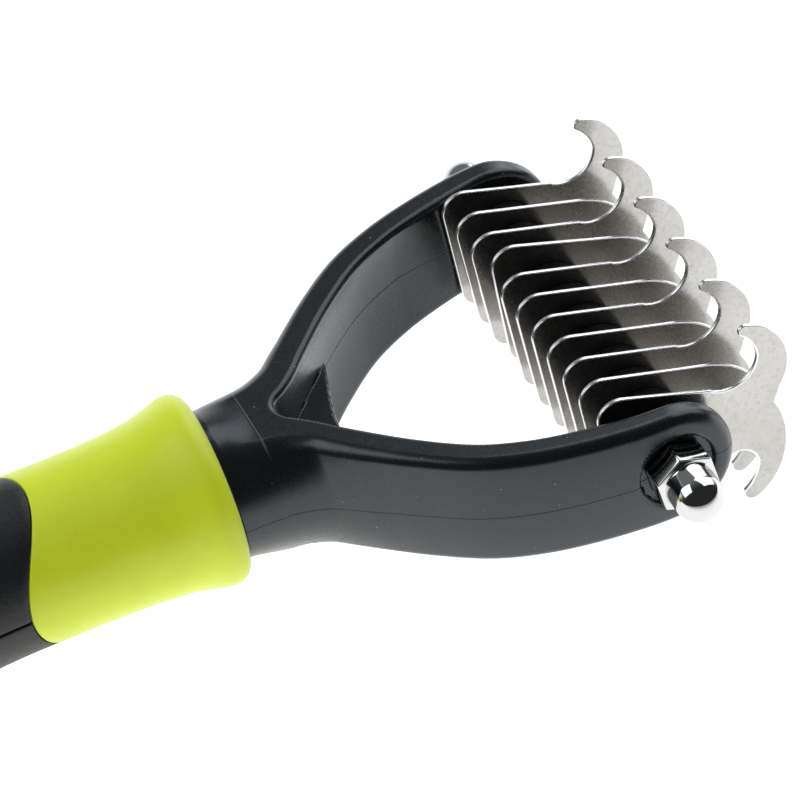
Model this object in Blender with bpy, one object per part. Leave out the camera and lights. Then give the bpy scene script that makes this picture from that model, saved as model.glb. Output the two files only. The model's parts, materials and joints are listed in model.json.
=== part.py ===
"""Double-sided undercoat rake: eleven hooked steel blades on a threaded axle between the arms of a Y fork,
with a soft collar and a two-shell grip on the fork's tang.

Dimensions are in millimetres from the centre of the axle: X forwards out of the handle, Y along the axle
and Z up. MM and ORIGIN turn them into the part's own frame, whose origin is the middle of the footprint.
"""

import math

import bmesh
import bpy
from mathutils import Matrix, Vector

MM = 0.001
ORIGIN = Vector((-66.595, 0.0, -14.45))  # footprint centre, level with the lowest hook
GAP = 0.3  # between pieces that touch
STACK_GAP = 0.15  # between the faces of the clamped stack

# Blade stack
BLADE_COUNT = 11
PITCH = 4.42
BLADE_THICKNESS = 0.55
BLADE_BORE_R = 2.8  # loose on the axle
PACK_SET_DEG = 2.8  # the whole stack stands this much nose-up
SLACK = {1: (-1.0, 0.0, 0.0), 4: (-2.3, 0.6, 0.5), 11: (-2.8, 0.0, 0.0)}  # slipped blades: turn, X and Z shift
SPACER_R = 4.8
SPACER_BORE_R = 2.03  # runs on the axle
END_SPACER_Y = 23.0  # the stack ends here, just inside the arms

# Axle and cap nuts, M4
AXLE_R = 1.95
AXLE_HALF_LENGTH = 32.0
NUT_ACROSS_FLATS = 7.0
NUT_SEAT_Y = 27.3
NUT_FACE_Y = 30.57
NUT_DOME_R = 2.7
NUT_TIP_Y = 36.4
NUT_BORE_DEPTH = 5.2
NUT_TURN_DEG = 35.3
NUT_BORE_R = 2.2
NUT_BORE_POINT = 0.5

# Fork: flat inner walls, crowned outer walls
ARM_TOP_WIDTH = 3.15  # at the axle
ARM_TOP_GROWTH = 0.012  # added width per millimetre towards the handle
ARM_CROWN = 1.1  # how far the outer wall at mid height stands outside its own edges, at the axle
ARM_CROWN_GROWTH = 0.015
ARM_EDGE_R = 1.2
ARM_END_R = 7.6  # also the half height at the axle
ARM_GROWTH = 0.028  # added half height per millimetre towards the handle
ARM_SIDE_Y = 27.4  # the outer wall's upper edge, at the axle
ARM_EDGE_LINE = [(0.0, 27.4), (-4.0, 26.95), (-10.0, 25.75), (-16.0, 23.9), (-22.0, 20.9), (-28.0, 16.0),
                 (-33.5, 10.4), (-37.2, 6.3), (-39.8, 4.5), (-43.0, 3.9)]
NECK_X = -45.0
NECK_REAR_X = -47.0
NECK_R = 9.2
TANG_R = 6.5
TANG_CHAMFER = 0.5
TANG_REAR_X = -129.6
NECK_TAPER = [(-44.5, 9.2), (-41.2, 8.5), (-39.6, 6.5), (-39.2, 0.0)]  # where the neck runs out between the arms
CROTCH = [(-45.0, 3.4), (-40.5, 3.6), (-38.8, 1.4), (-38.4, 0.0)]  # plan of the full-height corner between the arms
CROTCH_HALF_HEIGHT = 8.6
WEB = [(-41.0, 5.0), (-33.0, 9.0), (-28.0, 14.4), (-26.4, 13.4), (-28.4, 9.6), (-29.6, 5.8), (-30.4, 2.4),
       (-30.6, 0.0)]  # plan of the thin gusset at mid height
WEB_HALF_THICKNESS = 0.9
RECESS_R = 4.8
RECESS_OUT_Y = 31.4
AXLE_HOLE_R = 2.2

# Handle: its axis rises a little towards the rear
HANDLE_Z = 0.55
HANDLE_RISE = 0.035
COLLAR_PROFILE = [(-46.1, 9.5), (-46.2, 10.2), (-46.6, 11.0), (-47.4, 11.6), (-48.4, 11.85), (-49.6, 11.7),
                  (-51.5, 11.2), (-54.0, 10.7), (-58.0, 10.35), (-63.0, 10.2), (-68.0, 10.2)]
COLLAR_STRAIGHT_X = -60.0
COLLAR_RIM_LEAN = 0.4  # the rim's plane leans back this much below the axis, forward above
COLLAR_END_X = -71.0  # mean of a wavy joint line
COLLAR_WAVE = 2.8
GRIP_PROFILE = [(-68.0, 10.2), (-76.0, 10.3), (-84.0, 10.9), (-94.0, 11.9), (-104.0, 12.4), (-114.0, 12.2),
                (-124.0, 11.4), (-134.0, 10.8)]
GRIP_REAR_X = -134.0
GRIP_HOLLOW_R = 6.9
SPIGOT_LENGTH = 4.0
SHELL_COLUMNS = 9
SHELL_ROWS = 18
CAP_PROFILE = [(-134.0, 10.8), (-137.0, 11.3), (-140.5, 11.5), (-144.0, 11.1), (-147.0, 9.9), (-149.3, 7.8),
               (-150.6, 4.6)]
CAP_REAR_X = -150.6
CAP_FLAT_HALF = 5.5
CAP_FLAT_FRONT_X = -139.5
CAP_CUT_HEIGHT = 10.0
CAP_CUT_HALF_WIDTH = 20.0
CAP_CUT_OVERRUN = 5.0
CAP_CUT_SLOPE = 10.0  # how much further forward the cut starts at its outer face
HANG_HOLE_X = -144.6
HANG_HOLE_R = 3.2

MATERIALS = {
    "black_plastic": ((0.018, 0.019, 0.022, 1.0), 0.38, 0.0),
    "black_grip": ((0.022, 0.023, 0.026, 1.0), 0.62, 0.0),
    "green_rubber": ((0.46, 0.60, 0.04, 1.0), 0.45, 0.0),
    "polished_steel": ((0.72, 0.72, 0.72, 1.0), 0.12, 1.0),
    "chrome": ((0.82, 0.82, 0.83, 1.0), 0.05, 1.0),
}


def clear_scene():
    for thing in list(bpy.data.objects):
        bpy.data.objects.remove(thing, do_unlink=True)


def material(name):
    found = bpy.data.materials.get(name)
    if found:
        return found
    colour, roughness, metallic = MATERIALS[name]
    made = bpy.data.materials.new(name)
    made.use_nodes = True
    shader = made.node_tree.nodes["Principled BSDF"]
    shader.inputs["Base Color"].default_value = colour
    shader.inputs["Roughness"].default_value = roughness
    shader.inputs["Metallic"].default_value = metallic
    return made


def place(x, y, z):
    """Millimetres from the axle's centre to metres in the part's frame."""
    return (Vector((x, y, z)) - ORIGIN) * MM


def finish(name, shape, slot, parent=None, sharp_deg=30.0):
    """A bmesh in millimetres from the axle's centre becomes a named object with its origin on the axle."""
    bmesh.ops.recalc_face_normals(shape, faces=shape.faces)
    if shape.calc_volume(signed=True) < 0:
        bmesh.ops.reverse_faces(shape, faces=shape.faces)
    bmesh.ops.transform(shape, matrix=Matrix.Scale(MM, 4), verts=shape.verts)
    mesh = bpy.data.meshes.new(name)
    shape.to_mesh(mesh)
    shape.free()
    mesh.shade_smooth()
    mesh.set_sharp_from_angle(angle=math.radians(sharp_deg))
    made = bpy.data.objects.new(name, mesh)
    bpy.context.scene.collection.objects.link(made)
    made.data.materials.append(material(slot))
    if parent:
        made.parent = parent
    else:
        made.location = place(0, 0, 0)
    return made


def combine(target, tool, operation):
    """Applies one exact Boolean to target and removes the tool."""
    step = target.modifiers.new("combine", "BOOLEAN")
    step.operation = operation
    step.object = tool
    step.solver = "EXACT"
    bpy.context.view_layer.update()
    seen = target.evaluated_get(bpy.context.evaluated_depsgraph_get())
    result = bpy.data.meshes.new_from_object(seen)
    target.modifiers.clear()
    target.data = result
    bpy.data.objects.remove(tool, do_unlink=True)


# Outlines -----------------------------------------------------------------------------------------------

def circle_through(a, b, c):
    ax, ay = a
    bx, by = b
    cx, cy = c
    d = 2 * (ax * (by - cy) + bx * (cy - ay) + cx * (ay - by))
    sa, sb, sc = ax * ax + ay * ay, bx * bx + by * by, cx * cx + cy * cy
    x = (sa * (by - cy) + sb * (cy - ay) + sc * (ay - by)) / d
    y = (sa * (cx - bx) + sb * (ax - cx) + sc * (bx - ax)) / d
    return x, y


def arc(a, b, c, step_deg):
    """Points of the arc from a through b to c, without a itself."""
    x, y = circle_through(a, b, c)
    radius = math.dist((x, y), a)
    start, via, end = (math.atan2(p[1] - y, p[0] - x) for p in (a, b, c))
    turn = (end - start) % math.tau
    if (via - start) % math.tau > turn:
        turn -= math.tau
    count = max(2, round(abs(math.degrees(turn)) / step_deg))
    angles = [start + turn * i / count for i in range(1, count + 1)]
    return [(x + radius * math.cos(t), y + radius * math.sin(t)) for t in angles]


def fillet(before, corner, after, radius, step_deg):
    """Points of a rounded corner."""
    corner = Vector(corner)
    to_before = (Vector(before) - corner).normalized()
    to_after = (Vector(after) - corner).normalized()
    half = to_before.angle(to_after) / 2
    reach = radius / math.tan(half)
    first = corner + to_before * reach
    last = corner + to_after * reach
    middle = corner + (to_before + to_after).normalized() * (radius / math.sin(half) - radius)
    return [tuple(first)] + arc(tuple(first), tuple(middle), tuple(last), step_deg)


def smooth_line(points, per_span):
    """A Catmull-Rom curve through the points."""
    ends = [2 * Vector(points[0]) - Vector(points[1]), 2 * Vector(points[-1]) - Vector(points[-2])]
    p = [ends[0]] + [Vector(q) for q in points] + [ends[1]]
    line = []
    for i in range(1, len(p) - 2):
        for k in range(per_span):
            t = k / per_span
            line.append(0.5 * (2 * p[i] + (p[i + 1] - p[i - 1]) * t
                               + (2 * p[i - 1] - 5 * p[i] + 4 * p[i + 1] - p[i + 2]) * t * t
                               + (3 * p[i] - p[i - 1] - 3 * p[i + 1] + p[i + 2]) * t ** 3))
    return line + [p[-2]]


def value_on(profile, x):
    """The radius of a smooth turned profile at x."""
    line = smooth_line(profile, 6)
    for a, b in zip(line, line[1:]):
        if b.x <= x <= a.x:
            return a.y + (b.y - a.y) * (a.x - x) / (a.x - b.x)
    return line[0].y if x > line[0].x else line[-1].y


# Blades -------------------------------------------------------------------------------------------------

def hook_back(step_deg):
    """The lower hook, from the nose down its outer curve, round its tip and up its throat."""
    line = [(15.73, -5.6)]
    line += arc(line[-1], (15.45, -8.3), (14.9, -10.1), step_deg)
    line += arc(line[-1], (13.1, -12.9), (10.9, -14.45), step_deg)
    line += arc(line[-1], (9.55, -14.1), (9.35, -12.85), step_deg * 3)
    line += arc(line[-1], (10.95, -11.1), (11.62, -9.3), step_deg)
    line += arc(line[-1], (11.0, -7.45), (8.9, -6.5), step_deg)
    return line


def blade_outline(double, step_deg=14.0):
    """Clockwise from the rear top corner. A double blade has a hook on each side, a single one only below."""
    rear_bottom, rear_top = (-6.75, -9.35), (-6.6, 9.9)
    shoulder = (7.4, 4.25)
    line = fillet(rear_bottom, rear_top, shoulder, 2.6, step_deg)
    if double:
        line += [shoulder]
        line += arc(shoulder, (11.9, 3.9), (13.7, 6.7), step_deg)
        line += arc(line[-1], (13.2, 8.8), (12.1, 10.3), step_deg)
        line += arc(line[-1], (12.1, 11.15), (12.9, 11.5), step_deg * 3)
        line += arc(line[-1], (17.0, 7.4), (15.95, 0.8), step_deg)
        line += [(14.85, -1.35)]
        line += arc(line[-1], (15.6, -3.9), (15.73, -5.6), step_deg)[:-1]
    else:
        line += [(9.2, 3.5)]
        line += arc(line[-1], (13.4, 0.4), (15.73, -5.6), step_deg)[:-1]
    line += hook_back(step_deg)
    line += fillet(line[-1], rear_bottom, rear_top, 2.4, step_deg)
    return line


def plate(outline, thickness):
    """A flat plate in the XZ plane with a round bore at the axle."""
    shape = bmesh.new()
    bore_points = 16
    ring = [(BLADE_BORE_R * math.cos(math.tau * i / bore_points),
             BLADE_BORE_R * math.sin(math.tau * i / bore_points)) for i in range(bore_points)]
    edges = []
    for loop in (outline, ring):
        verts = [shape.verts.new((x, -thickness / 2, z)) for x, z in loop]
        edges += [shape.edges.new((a, b)) for a, b in zip(verts, verts[1:] + verts[:1])]
    faces = bmesh.ops.triangle_fill(shape, edges=edges, use_beauty=True, normal=(0, -1, 0))["geom"]
    faces = [f for f in faces if isinstance(f, bmesh.types.BMFace)]
    top = bmesh.ops.extrude_face_region(shape, geom=faces)["geom"]
    moved = [v for v in top if isinstance(v, bmesh.types.BMVert)]
    bmesh.ops.translate(shape, verts=moved, vec=(0, thickness, 0))
    return shape


def blade_y(number):
    """Blade 1 is at the +Y end of the stack and the last at the -Y end."""
    return ((BLADE_COUNT + 1) / 2 - number) * PITCH


def make_blades(pack):
    for number in range(1, BLADE_COUNT + 1):
        shape = plate(blade_outline(double=number % 2 == 1), BLADE_THICKNESS)
        slack_deg, slack_x, slack_z = SLACK.get(number, (0.0, 0.0, 0.0))
        turn = Matrix.Rotation(-math.radians(PACK_SET_DEG + slack_deg), 3, "Y")
        bmesh.ops.rotate(shape, cent=(0, 0, 0), matrix=turn, verts=shape.verts)
        bmesh.ops.translate(shape, verts=shape.verts, vec=(slack_x, blade_y(number), slack_z))
        finish(f"blade_{number:02d}", shape, "polished_steel", pack)


def tube_along_y(y_low, y_high, outer_r, inner_r, sides=24):
    """A plain bush around the axle."""
    shape = bmesh.new()
    rings = []
    for y, radius in ((y_low, outer_r), (y_high, outer_r), (y_high, inner_r), (y_low, inner_r)):
        rings.append([shape.verts.new((radius * math.cos(math.tau * i / sides), y,
                                       radius * math.sin(math.tau * i / sides))) for i in range(sides)])
    for low, high in zip(rings, rings[1:] + rings[:1]):
        for i in range(sides):
            j = (i + 1) % sides
            shape.faces.new((low[i], low[j], high[j], high[i]))
    return shape


def make_spacers(pack):
    half = BLADE_THICKNESS / 2 + STACK_GAP
    for number in range(1, BLADE_COUNT):
        shape = tube_along_y(blade_y(number + 1) + half, blade_y(number) - half, SPACER_R, SPACER_BORE_R)
        finish(f"spacer_{number:02d}", shape, "black_plastic", pack)
    for side, name in ((1, "end_spacer_left"), (-1, "end_spacer_right")):
        ends = sorted((side * (blade_y(1) + half), side * END_SPACER_Y))
        finish(name, tube_along_y(*ends, SPACER_R, SPACER_BORE_R), "black_plastic", pack)


# Axle and nuts ------------------------------------------------------------------------------------------

def turned(profile, sides):
    """A closed solid turned about Y from (along, radius) points that start and end on the axis."""
    shape = bmesh.new()
    previous = None
    for along, radius in profile:
        if radius == 0:
            ring = [shape.verts.new((0, along, 0))]
        else:
            ring = [shape.verts.new((radius * math.cos(math.tau * i / sides), along,
                                     radius * math.sin(math.tau * i / sides))) for i in range(sides)]
        if previous:
            for i in range(sides):
                j = (i + 1) % sides
                corners = [previous[i % len(previous)], previous[j % len(previous)],
                           ring[j % len(ring)], ring[i % len(ring)]]
                shape.faces.new(list(dict.fromkeys(corners)))
        previous = ring
    return shape


def make_axle():
    chamfer = 0.4
    end = AXLE_HALF_LENGTH
    profile = [(-end, 0), (-end, AXLE_R - chamfer), (-end + chamfer, AXLE_R), (end - chamfer, AXLE_R),
               (end, AXLE_R - chamfer), (end, 0)]
    finish("axle_rod", turned(profile, 24), "chrome")


def make_nut(side, name):
    """A tall domed cap nut: hexagon, turned shoulder, dome and blind bore."""
    dome_y = NUT_TIP_Y - NUT_DOME_R
    corner_r = NUT_ACROSS_FLATS / 2 / math.cos(math.pi / 6)
    profile = [(NUT_SEAT_Y, 0), (NUT_SEAT_Y, corner_r), (NUT_FACE_Y, corner_r), (NUT_FACE_Y, 0)]
    nut = finish(name, turned(profile, 6), "chrome")
    dome = [(NUT_FACE_Y - 1, 0), (NUT_FACE_Y - 1, NUT_DOME_R), (dome_y, NUT_DOME_R)]
    dome += [(dome_y + NUT_DOME_R * math.sin(t), NUT_DOME_R * math.cos(t))
             for t in (math.pi / 2 * i / 5 for i in range(1, 5))]
    combine(nut, finish("dome", turned(dome + [(NUT_TIP_Y, 0)], 24), "chrome"), "UNION")
    bore_end = NUT_SEAT_Y + NUT_BORE_DEPTH
    bore = [(NUT_SEAT_Y - 2, 0), (NUT_SEAT_Y - 2, NUT_BORE_R), (bore_end, NUT_BORE_R),
            (bore_end + NUT_BORE_POINT, 0)]
    combine(nut, finish("bore", turned(bore, 24), "chrome"), "DIFFERENCE")
    turn = Matrix.Rotation(math.radians(-NUT_TURN_DEG), 4, "Y")
    if side < 0:
        turn = Matrix.Rotation(math.pi, 4, "Z") @ turn
    nut.data.transform(turn)
    nut.data.shade_smooth()
    nut.data.set_sharp_from_angle(angle=math.radians(30))


# Fork ---------------------------------------------------------------------------------------------------

def arm_half_height(x):
    """The arm deepens towards the handle and ends in a half circle about the axle."""
    if x > 0:
        return math.sqrt(max(ARM_END_R ** 2 - x * x, 0.0))
    return ARM_END_R - ARM_GROWTH * x


def arm_stations():
    """Plan points and outward normals along the arm's upper outer edge, from the rounded end to the neck."""
    end = [Vector((ARM_END_R * math.sin(math.radians(t)), ARM_SIDE_Y)) for t in (80, 68, 54, 38, 20)]
    line = end + smooth_line(ARM_EDGE_LINE, 2)
    stations = []
    for i, point in enumerate(line):
        along = line[min(i + 1, len(line) - 1)] - line[max(i - 1, 0)]
        stations.append((point, Vector((-along.y, along.x)).normalized() * -1))
    return stations


def arm_section(point, normal, steps=4):
    """One closed ring round the arm: crowned outer wall, rounded edges and flat inner wall."""
    height = arm_half_height(point.x)
    edge_r = min(ARM_EDGE_R, 0.45 * height)
    flat = height - edge_r
    back = max(-point.x, 0.0)
    thickness = ARM_TOP_WIDTH + ARM_TOP_GROWTH * back
    bulge = ARM_CROWN + ARM_CROWN_GROWTH * back
    reach = max(point.x, 0.0) ** 2
    span = height ** 2 + reach
    ring = []
    for k in range(-steps, steps + 1):
        z = flat * k / steps
        ring.append((bulge * max(0.0, 1 - (z * z + reach) / span), z))
    quarter = [math.radians(t) for t in (45, 90)]
    round_in = [(edge_r * math.cos(t) - edge_r, flat + edge_r * math.sin(t)) for t in quarter]
    round_out = [(edge_r - thickness - edge_r * math.sin(t), flat + edge_r * math.cos(t)) for t in [0.0] + quarter]
    ring += round_in + round_out
    ring += [(out, -z) for out, z in reversed(round_in + round_out)]
    return [(point.x + normal.x * out, point.y + normal.y * out, z) for out, z in ring]


def make_arm(side):
    """One arm, swept along its upper outer edge and closed at both ends."""
    shape = bmesh.new()
    previous = None
    for point, normal in arm_stations():
        ring = [shape.verts.new((x, side * y, z)) for x, y, z in arm_section(point, normal)]
        if previous:
            for k in range(len(ring)):
                m = (k + 1) % len(ring)
                shape.faces.new((previous[k], previous[m], ring[m], ring[k]))
        else:
            shape.faces.new(ring)
        previous = ring
    shape.faces.new(previous)
    return shape


def slab(outline, half_height):
    """A plan outline given for +Y, mirrored to a closed polygon and raised both ways."""
    points = outline + [(x, -y) for x, y in reversed(outline) if y > 0]
    shape = bmesh.new()
    low = shape.faces.new([shape.verts.new((x, y, -half_height)) for x, y in points])
    top = bmesh.ops.extrude_face_region(shape, geom=[low])["geom"]
    moved = [v for v in top if isinstance(v, bmesh.types.BMVert)]
    bmesh.ops.translate(shape, verts=moved, vec=(0, 0, 2 * half_height))
    return shape


def lift(x):
    """Height of the handle's axis."""
    return HANDLE_Z + HANDLE_RISE * max(0.0, NECK_X - x)


def turned_on_handle(profile, sides):
    """A solid turned about the handle's rising axis, from (x, radius) points that start and end on it."""
    shape = turned([(x, r) for x, r in profile], sides)
    for v in shape.verts:
        x = v.co.y
        v.co = Vector((x, v.co.x, v.co.z + lift(x)))
    return shape


def make_fork():
    fork = finish("fork_frame", make_arm(1), "black_plastic")
    combine(fork, finish("arm", make_arm(-1), "black_plastic"), "UNION")
    combine(fork, finish("crotch", slab(CROTCH, CROTCH_HALF_HEIGHT), "black_plastic"), "UNION")
    combine(fork, finish("web", slab(WEB, WEB_HALF_THICKNESS), "black_plastic"), "UNION")
    neck = [(TANG_REAR_X, 0), (TANG_REAR_X, TANG_R - TANG_CHAMFER), (TANG_REAR_X + TANG_CHAMFER, TANG_R),
            (NECK_REAR_X, TANG_R), (NECK_REAR_X, NECK_R)] + NECK_TAPER
    combine(fork, finish("neck", turned_on_handle(neck, 32), "black_plastic"), "UNION")
    for side in (1, -1):
        floor = side * (NUT_SEAT_Y - GAP)
        out = side * RECESS_OUT_Y
        recess = [(floor, 0), (floor, RECESS_R), (out, RECESS_R), (out, 0)]
        combine(fork, finish("recess", turned(recess, 32), "black_plastic"), "DIFFERENCE")
    bore = [(-RECESS_OUT_Y, 0), (-RECESS_OUT_Y, AXLE_HOLE_R), (RECESS_OUT_Y, AXLE_HOLE_R), (RECESS_OUT_Y, 0)]
    combine(fork, finish("bore", turned(bore, 24), "black_plastic"), "DIFFERENCE")
    fork.data.shade_smooth()
    fork.data.set_sharp_from_angle(angle=math.radians(40))


# Handle -------------------------------------------------------------------------------------------------

def joint_x(angle):
    """The wavy line where the collar meets the grip, forward above and below, back at the sides."""
    return COLLAR_END_X - COLLAR_WAVE * math.cos(2 * angle)


def radius_at(x):
    """Outer radius of the whole handle."""
    return value_on(COLLAR_PROFILE + GRIP_PROFILE[1:], x)


def strip(shape, loop, angle):
    """One lengthwise loop of (x, radius) points at an angle round the handle, from -Y towards +Z."""
    return [shape.verts.new((x, -r * math.cos(angle), r * math.sin(angle) + lift(x))) for x, r in loop]


def bridge(shape, a, b):
    for k in range(len(a)):
        m = (k + 1) % len(a)
        shape.faces.new((a[k], a[m], b[m], b[k]))


def make_collar():
    sides = 36
    shape = bmesh.new()
    rim = [p for p in COLLAR_PROFILE if p[0] > COLLAR_STRAIGHT_X]
    strips = []
    for angle in [math.tau * i / sides for i in range(sides)]:
        end = joint_x(angle)
        lean = COLLAR_RIM_LEAN * (math.sin(angle) - 1)
        straight = [COLLAR_STRAIGHT_X + (end - COLLAR_STRAIGHT_X) * i / 3 for i in range(4)]
        reach = rim[0][0] - rim[-1][0]
        loop = [(x + lean * (x - rim[-1][0]) / reach, r) for x, r in rim]
        loop += [(x, radius_at(x)) for x in straight]
        loop += [(end, GRIP_HOLLOW_R), (NECK_REAR_X - GAP, GRIP_HOLLOW_R), (NECK_REAR_X - GAP, rim[0][1])]
        strips.append(strip(shape, loop, angle))
    for a, b in zip(strips, strips[1:] + strips[:1]):
        bridge(shape, a, b)
    finish("grip_collar", shape, "green_rubber", sharp_deg=50)


def make_grip():
    """Upper and lower shells that meet at the sides."""
    seam = math.asin(GAP / 2 / GRIP_HOLLOW_R)
    for name, start in (("grip_upper", 0.0), ("grip_lower", math.pi)):
        shape = bmesh.new()
        strips = []
        for row in range(SHELL_ROWS + 1):
            angle = start + seam + (math.pi - 2 * seam) * row / SHELL_ROWS
            ahead = joint_x(angle) - GAP
            line = [ahead + (GRIP_REAR_X - ahead) * i / SHELL_COLUMNS for i in range(SHELL_COLUMNS + 1)]
            loop = [(x, radius_at(x)) for x in line] + [(GRIP_REAR_X, GRIP_HOLLOW_R), (ahead, GRIP_HOLLOW_R)]
            strips.append(strip(shape, loop, angle))
        for a, b in zip(strips, strips[1:]):
            bridge(shape, a, b)
        shape.faces.new(strips[0])
        shape.faces.new(strips[-1])
        finish(name, shape, "black_grip", sharp_deg=50)


def make_cap():
    """The butt: a plug with a flattened eye to hang it by."""
    spigot_r = GRIP_HOLLOW_R - GAP
    front = GRIP_REAR_X - GAP
    body = [(front + SPIGOT_LENGTH, 0), (front + SPIGOT_LENGTH, spigot_r), (front, spigot_r)]
    body += [(min(x, front), r) for x, r in CAP_PROFILE]
    body += [(CAP_REAR_X, 0)]
    cap = finish("butt_cap", turned_on_handle(list(reversed(body)), 36), "green_rubber")
    level = lift(CAP_REAR_X)
    for side in (1, -1):
        plan = [(CAP_FLAT_FRONT_X, CAP_CUT_HALF_WIDTH), (CAP_REAR_X - CAP_CUT_OVERRUN, CAP_CUT_HALF_WIDTH)]
        block = slab(plan, CAP_CUT_HEIGHT / 2)
        for v in block.verts:
            v.co.z += level + side * (CAP_FLAT_HALF + CAP_CUT_HEIGHT / 2)
            if v.co.x > CAP_REAR_X and abs(v.co.z - level) > CAP_FLAT_HALF + 1:
                v.co.x += CAP_CUT_SLOPE
        combine(cap, finish("flat", block, "green_rubber"), "DIFFERENCE")
    reach = 3 * CAP_CUT_HEIGHT
    hole = turned([(-reach, 0), (-reach, HANG_HOLE_R), (reach, HANG_HOLE_R), (reach, 0)], 24)
    bmesh.ops.rotate(hole, cent=(0, 0, 0), matrix=Matrix.Rotation(math.pi / 2, 3, "X"), verts=hole.verts)
    bmesh.ops.translate(hole, verts=hole.verts, vec=(HANG_HOLE_X, 0, 0))
    combine(cap, finish("hole", hole, "green_rubber"), "DIFFERENCE")
    cap.data.shade_smooth()
    cap.data.set_sharp_from_angle(angle=math.radians(35))


def main():
    clear_scene()
    pack = bpy.data.objects.new("blade_pack_axis", None)
    pack.location = place(0, 0, 0)
    bpy.context.scene.collection.objects.link(pack)
    make_blades(pack)
    make_spacers(pack)
    make_axle()
    make_nut(1, "cap_nut_left")
    make_nut(-1, "cap_nut_right")
    make_fork()
    make_collar()
    make_grip()
    make_cap()


main()
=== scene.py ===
import json
import math
from itertools import product

import bmesh
import bpy
import numpy as np
from mathutils import Matrix, Vector


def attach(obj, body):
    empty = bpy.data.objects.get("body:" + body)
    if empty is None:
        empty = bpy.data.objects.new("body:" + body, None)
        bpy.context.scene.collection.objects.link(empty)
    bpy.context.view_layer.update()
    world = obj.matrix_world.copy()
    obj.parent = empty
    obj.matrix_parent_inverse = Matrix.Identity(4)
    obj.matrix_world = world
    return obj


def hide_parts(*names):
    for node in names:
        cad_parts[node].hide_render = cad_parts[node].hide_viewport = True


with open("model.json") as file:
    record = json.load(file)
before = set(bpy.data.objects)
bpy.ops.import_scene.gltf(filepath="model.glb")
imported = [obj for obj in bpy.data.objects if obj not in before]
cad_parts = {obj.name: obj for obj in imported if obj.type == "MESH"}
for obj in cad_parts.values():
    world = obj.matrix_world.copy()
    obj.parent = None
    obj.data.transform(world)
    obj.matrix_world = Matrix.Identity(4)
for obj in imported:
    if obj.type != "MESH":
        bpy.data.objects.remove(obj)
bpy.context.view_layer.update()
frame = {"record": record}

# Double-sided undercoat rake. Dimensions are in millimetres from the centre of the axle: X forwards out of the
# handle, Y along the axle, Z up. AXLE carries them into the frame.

MM = 0.001
AXLE = Vector(frame["record"]["behaviour"]["joints"][0]["pos_m"])
HANDLE, PACK = "handle", "blade_pack"

# Blade stack
BLADE_COUNT = 11
PITCH = 4.42
BLADE_THICKNESS = 0.55
BLADE_BORE_R = 2.8
PACK_SET_DEG = 2.8
SLACK = {1: (-1.0, 0.0, 0.0), 4: (-2.3, 0.6, 0.5), 11: (-2.8, 0.0, 0.0)}
EDGE_ROUND = 0.12
THROAT_ROUND = 0.26
STACK_GAP = 0.02
SPACER_R = 4.8
SPACER_BORE_R = 2.03
END_SPACER_Y = 23.0

# Axle and nuts
AXLE_R = 1.95
AXLE_HALF_LENGTH = 32.0
NUT_ACROSS_FLATS = 7.0
NUT_SEAT_Y = 27.3
NUT_FACE_Y = 30.57
NUT_DOME_R = 3.0
NUT_TIP_Y = 36.0
NUT_BORE_R = 2.2
NUT_BORE_DEPTH = 5.2
NUT_TURN_DEG = 22.5

# Fork. Growths are per millimetre behind the axle.
FORK_STEP = 0.36
ARM_INSIDE = 3.4
ARM_INSIDE_GROWTH = 0.014
ARM_HOLLOW = 1.2
ARM_OUTSIDE = 0.38
ARM_CROWN = 0.8
ARM_CROWN_GROWTH = 0.003
ARM_END_R = 7.6
ARM_GROWTH = 0.028
ARM_BOTTOM_GROWTH = 0.004
ARM_EDGE_R = 1.2
ARM_INNER_EDGE_R = 0.95
ARM_SET = [(-45.0, 0.2), (-40.0, 0.4), (-33.0, 0.7), (-28.0, 0.6), (-19.0, 0.45), (-8.0, 0.2), (0.0, 0.0)]
SHOULDER = [(26.0, 0.0), (30.0, 0.25), (33.0, 0.8), (36.5, 1.6), (40.0, 2.3)]
PARTING_RISE = 0.012
ARM_EDGE_LINE = [(12.0, 27.4), (6.0, 27.4), (0.0, 27.4), (-4.0, 26.95), (-10.0, 25.75), (-16.0, 23.9),
                 (-22.0, 20.9), (-28.0, 16.0), (-33.5, 10.4), (-37.2, 6.3), (-39.8, 4.5), (-43.0, 3.9),
                 (-48.0, 3.8), (-54.0, 3.8)]
NECK_R = 9.2
NECK_FRONT_X = -35.0
NECK_SEAM_X = -41.2
NECK_TURN = 4.8
NECK_BLEND = 2.4
NECK_HEEL = 1.3
NECK_HEEL_X = -38.5
THROAT_X = -37.6
NECK_REAR_X = -47.0
TANG_R = 6.5
TANG_REAR_X = -129.6
TANG_OVERLAP = 1.5
TANG_SIDES = 64
WEB_EDGE = [(0.0, -30.6), (2.4, -30.4), (5.8, -29.7), (9.4, -28.7), (12.1, -27.9), (14.5, -27.5), (18.0, -27.2)]
WEB_HALF_THICKNESS = 0.9
RECESS_R = 4.7
RECESS_FLOOR_Y = 27.0
RECESS_EDGE_R = 0.7
AXLE_HOLE_R = 2.2

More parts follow.
